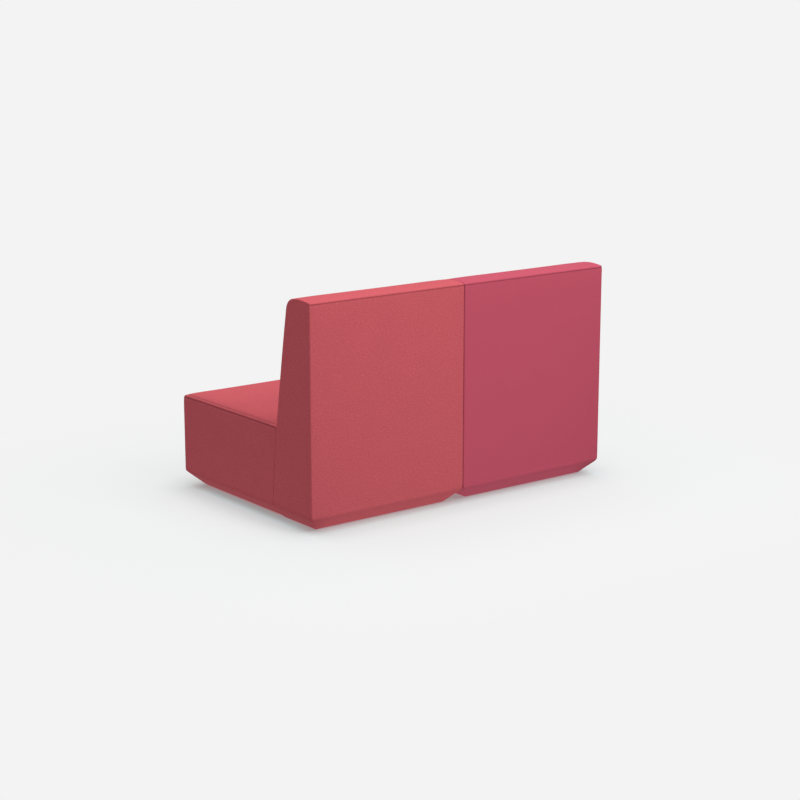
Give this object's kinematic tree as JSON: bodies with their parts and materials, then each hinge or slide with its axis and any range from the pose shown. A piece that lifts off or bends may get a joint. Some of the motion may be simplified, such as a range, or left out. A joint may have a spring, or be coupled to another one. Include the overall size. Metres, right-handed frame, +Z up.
{
  "type": "high-back two-seat sofa",
  "caption": "Armless lounge sofa of side-by-side upholstered modules, each a low seat block bolted to a tall leaning backrest, with bevelled feet and a plain flat rear.",
  "frame": {"origin": "on the floor under the middle of the sofa", "axes": "+Z up, the seats face -Y, +X to the right of someone looking at the seats; coral module at +X"},
  "size_m": [1.509, 0.9355, 0.9209],
  "materials": {
    "coral_fabric": "matte",
    "berry_fabric": "matte",
    "foam": "matte",
    "plywood": "matte",
    "timber": "matte",
    "hardboard": "matte",
    "webbing": "matte",
    "dust_cloth": "matte",
    "zinc_steel": "satin",
    "glide_plastic": "satin"
  },
  "bodies": {
    "root": {"coral_seat_cover": "coral_fabric", "coral_back_cover": "coral_fabric", "coral_seat_foam": "foam", "coral_seat_edge_foam": "foam", "coral_back_front_foam": "foam", "coral_back_top_foam": "foam", "coral_back_rear_foam": "foam", "coral_back_side_foam": "foam", "coral_seat_base_board": "plywood", "coral_seat_front_rail": "timber", "coral_seat_rear_rail": "timber", "coral_seat_side_rails": "timber", "coral_seat_corner_blocks": "timber", "coral_back_base_board": "plywood", "coral_back_gables": "plywood", "coral_back_top_rail": "timber", "coral_back_middle_rail": "timber", "coral_back_joint_panel": "plywood", "coral_back_rear_panel": "hardboard", "coral_seat_webbing": "webbing", "coral_back_webbing": "webbing", "coral_seat_dust_cover": "dust_cloth", "coral_back_dust_cover": "dust_cloth", "coral_joint_bolts": "zinc_steel", "coral_joint_washers": "zinc_steel", "coral_joint_tee_nuts": "zinc_steel", "coral_glide_screws": "zinc_steel", "coral_glides": "glide_plastic", "berry_seat_cover": "berry_fabric", "berry_back_cover": "berry_fabric", "berry_seat_foam": "foam", "berry_seat_edge_foam": "foam", "berry_back_front_foam": "foam", "berry_back_top_foam": "foam", "berry_back_rear_foam": "foam", "berry_back_side_foam": "foam", "berry_seat_base_board": "plywood", "berry_seat_front_rail": "timber", "berry_seat_rear_rail": "timber", "berry_seat_side_rails": "timber", "berry_seat_corner_blocks": "timber", "berry_back_base_board": "plywood", "berry_back_gables": "plywood", "berry_back_top_rail": "timber", "berry_back_middle_rail": "timber", "berry_back_joint_panel": "plywood", "berry_back_rear_panel": "hardboard", "berry_seat_webbing": "webbing", "berry_back_webbing": "webbing", "berry_seat_dust_cover": "dust_cloth", "berry_back_dust_cover": "dust_cloth", "berry_joint_bolts": "zinc_steel", "berry_joint_washers": "zinc_steel", "berry_joint_tee_nuts": "zinc_steel", "berry_glide_screws": "zinc_steel", "berry_glides": "glide_plastic", "front_link_plate": "zinc_steel", "rear_link_plate": "zinc_steel", "link_screws": "zinc_steel"}
  },
  "joints": []
}
